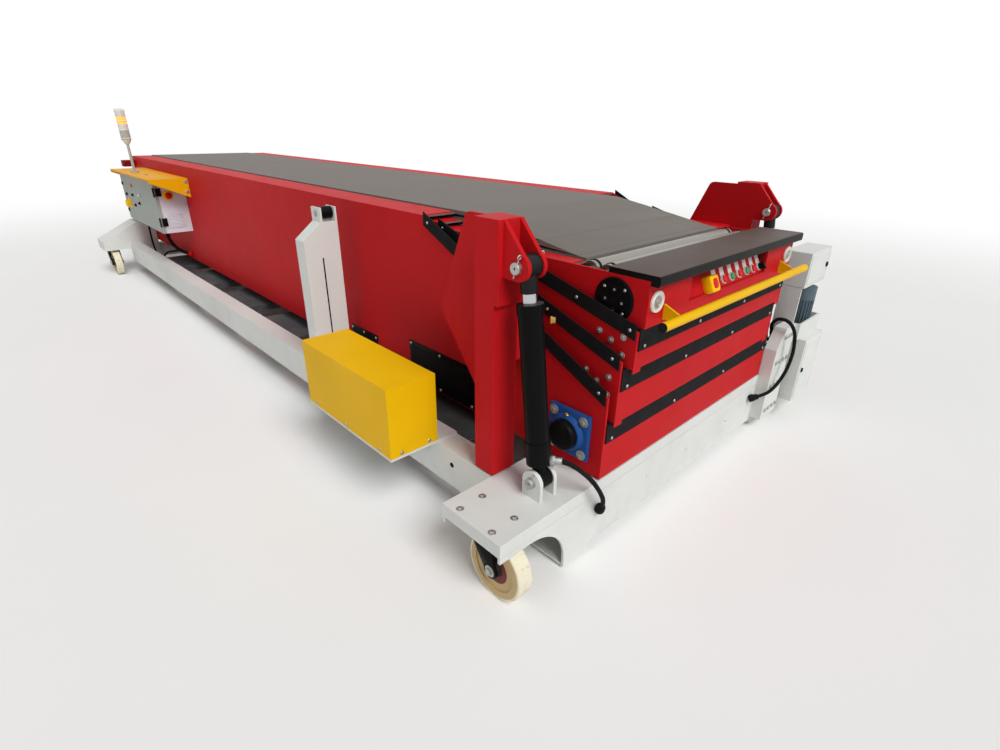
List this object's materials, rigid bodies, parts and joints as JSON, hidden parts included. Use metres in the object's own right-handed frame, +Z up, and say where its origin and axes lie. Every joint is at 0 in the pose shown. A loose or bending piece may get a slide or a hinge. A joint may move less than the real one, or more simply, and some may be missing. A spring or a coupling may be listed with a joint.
{
  "type": "mobile telescopic belt conveyor",
  "caption": "Wheeled loading conveyor whose nested belt sections slide out over a hinged outer section lifted at its front by hydraulic cylinders",
  "frame": {"origin": "On the floor, under the middle of the closed conveyor", "axes": "+X is the delivery end with the head stage, +Y the left side with the power unit, +Z up"},
  "size_m": [5.014, 1.9, 1.246],
  "materials": {
    "white_paint": "satin off-white paint",
    "red_paint": "satin red paint",
    "yellow_paint": "satin yellow paint",
    "dark_paint": "dark grey paint",
    "black_paint": "semi-gloss black paint",
    "grey_paint": "grey-green textured paint",
    "motor_paint": "blue-grey machine paint",
    "bearing_paint": "blue painted casting",
    "belt_rubber": "matt dark belt",
    "black_rubber": "matt black rubber",
    "chrome": "ground chrome rod",
    "steel": "zinc plated steel",
    "tread": "cream tread on a red core",
    "black_plastic": "black moulded plastic",
    "white_plastic": "white lens",
    "signal_plastic": "grey housing with an amber band"
  },
  "bodies": {
    "chassis": {"front_beam": "white_paint", "right_rail": "white_paint", "left_rail": "white_paint", "rear_beam": "white_paint", "floor_pans": "dark_paint", "right_guide_post": "white_paint", "left_guide_post": "white_paint", "guide_rollers": "black_plastic", "drive_guard": "yellow_paint", "unit_mount": "white_paint", "unit_motor": "motor_paint", "unit_boxes": "white_paint", "right_lift_hose": "black_rubber", "left_lift_hose": "black_rubber"},
    "boom": {"outer_right_side": "red_paint", "outer_left_side": "red_paint", "outer_floor": "red_paint", "outer_wipers": "black_rubber", "outer_belt": "belt_rubber", "outer_tail_plate": "red_paint", "right_lift_column": "red_paint", "left_lift_column": "red_paint", "flange_bearings": "bearing_paint", "control_box": "grey_paint", "control_hood": "yellow_paint", "signal_light": "signal_plastic", "control_bundle": "black_rubber", "control_loop": "black_rubber"},
    "control_door": {"control_door": "grey_paint"},
    "stage_1": {"stage_1_right_side": "red_paint", "stage_1_left_side": "red_paint", "stage_1_floor": "red_paint", "stage_1_wipers": "black_rubber", "stage_1_belt": "belt_rubber"},
    "stage_2": {"stage_2_right_side": "red_paint", "stage_2_left_side": "red_paint", "stage_2_floor": "red_paint", "stage_2_wipers": "black_rubber", "stage_2_belt": "belt_rubber"},
    "head": {"head_frame": "red_paint", "head_belt": "belt_rubber", "head_table": "black_paint", "control_panel": "red_paint", "head_bumper": "yellow_paint", "head_lamps": "white_plastic", "head_covers": "black_plastic"},
    "rear_transfer_roller": {"rear_transfer_roller": "steel"},
    "front_transfer_roller": {"front_transfer_roller": "steel"},
    "right_barrel": {"right_cylinder_barrel": "black_paint"},
    "right_rod": {"right_cylinder_rod": "chrome"},
    "left_barrel": {"left_cylinder_barrel": "black_paint"},
    "left_rod": {"left_cylinder_rod": "chrome"},
    "front_right_fork": {"front_right_fork": "black_paint"},
    "front_right_wheel": {"front_right_wheel": "tread"},
    "front_left_fork": {"front_left_fork": "black_paint"},
    "front_left_wheel": {"front_left_wheel": "tread"},
    "rear_right_fork": {"rear_right_fork": "black_paint"},
    "rear_right_wheel": {"rear_right_wheel": "tread"},
    "rear_left_fork": {"rear_left_fork": "black_paint"},
    "rear_left_wheel": {"rear_left_wheel": "tread"}
  },
  "joints": [
    {"name": "boom_tilt", "type": "hinge", "parent": "chassis", "child": "boom", "pos_m": [-2.385, 0, 0.44], "axis": [0, -1, 0], "range_deg": [0, 4.5]},
    {"name": "stage_1_slide", "type": "slide", "parent": "boom", "child": "stage_1", "axis": [1, 0, 0], "range_m": [0, 2.6]},
    {"name": "stage_2_slide", "type": "slide", "parent": "stage_1", "child": "stage_2", "axis": [1, 0, 0], "range_m": [0, 2.6]},
    {"name": "head_slide", "type": "slide", "parent": "stage_2", "child": "head", "axis": [1, 0, 0], "range_m": [0, 2.6]},
    {"name": "control_door_hinge", "type": "hinge", "parent": "boom", "child": "control_door", "pos_m": [-1.181, -0.74, 0.65], "axis": [0, 0, 1], "range_deg": [0, 110]},
    {"name": "rear_transfer_roller_spin", "type": "hinge", "parent": "head", "child": "rear_transfer_roller", "pos_m": [2.209, 0, 0.82], "axis": [0, 1, 0], "continuous": true},
    {"name": "front_transfer_roller_spin", "type": "hinge", "parent": "head", "child": "front_transfer_roller", "pos_m": [2.267, 0, 0.82], "axis": [0, 1, 0], "continuous": true},
    {"name": "right_barrel_tilt", "type": "hinge", "parent": "chassis", "child": "right_barrel", "pos_m": [2.318, -0.72, 0.3], "axis": [0, -1, 0], "range_deg": [0, 0.05]},
    {"name": "right_rod_slide", "type": "slide", "parent": "right_barrel", "child": "right_rod", "axis": [-0.1259, 0, 0.992], "range_m": [0, 0.366]},
    {"name": "left_barrel_tilt", "type": "hinge", "parent": "chassis", "child": "left_barrel", "pos_m": [2.318, 0.72, 0.3], "axis": [0, -1, 0], "range_deg": [0, 0.05]},
    {"name": "left_rod_slide", "type": "slide", "parent": "left_barrel", "child": "left_rod", "axis": [-0.1259, 0, 0.992], "range_m": [0, 0.366]},
    {"name": "front_right_swivel", "type": "hinge", "parent": "chassis", "child": "front_right_fork", "pos_m": [2.283, -0.882, 0.22], "axis": [0, 0, 1], "continuous": true},
    {"name": "front_right_spin", "type": "hinge", "parent": "front_right_fork", "child": "front_right_wheel", "pos_m": [2.332, -0.882, 0.1], "axis": [0, 1, 0], "continuous": true},
    {"name": "front_left_swivel", "type": "hinge", "parent": "chassis", "child": "front_left_fork", "pos_m": [2.283, 0.882, 0.22], "axis": [0, 0, 1], "continuous": true},
    {"name": "front_left_spin", "type": "hinge", "parent": "front_left_fork", "child": "front_left_wheel", "pos_m": [2.332, 0.882, 0.1], "axis": [0, 1, 0], "continuous": true},
    {"name": "rear_right_swivel", "type": "hinge", "parent": "chassis", "child": "rear_right_fork", "pos_m": [-2.385, -0.882, 0.22], "axis": [0, 0, 1], "continuous": true},
    {"name": "rear_right_spin", "type": "hinge", "parent": "rear_right_fork", "child": "rear_right_wheel", "pos_m": [-2.336, -0.882, 0.1], "axis": [0, 1, 0], "continuous": true},
    {"name": "rear_left_swivel", "type": "hinge", "parent": "chassis", "child": "rear_left_fork", "pos_m": [-2.385, 0.882, 0.22], "axis": [0, 0, 1], "continuous": true},
    {"name": "rear_left_spin", "type": "hinge", "parent": "rear_left_fork", "child": "rear_left_wheel", "pos_m": [-2.336, 0.882, 0.1], "axis": [0, 1, 0], "continuous": true}
  ],
  "couplings": [
    {"joint": "stage_2_slide", "follows": "stage_1_slide", "ratio": 1},
    {"joint": "head_slide", "follows": "stage_1_slide", "ratio": 1},
    {"joint": "right_barrel_tilt", "follows": "boom_tilt", "ratio": 0.01},
    {"joint": "right_rod_slide", "follows": "boom_tilt", "m_per_rad": 4.65},
    {"joint": "left_barrel_tilt", "follows": "boom_tilt", "ratio": 0.01},
    {"joint": "left_rod_slide", "follows": "boom_tilt", "m_per_rad": 4.65}
  ]
}
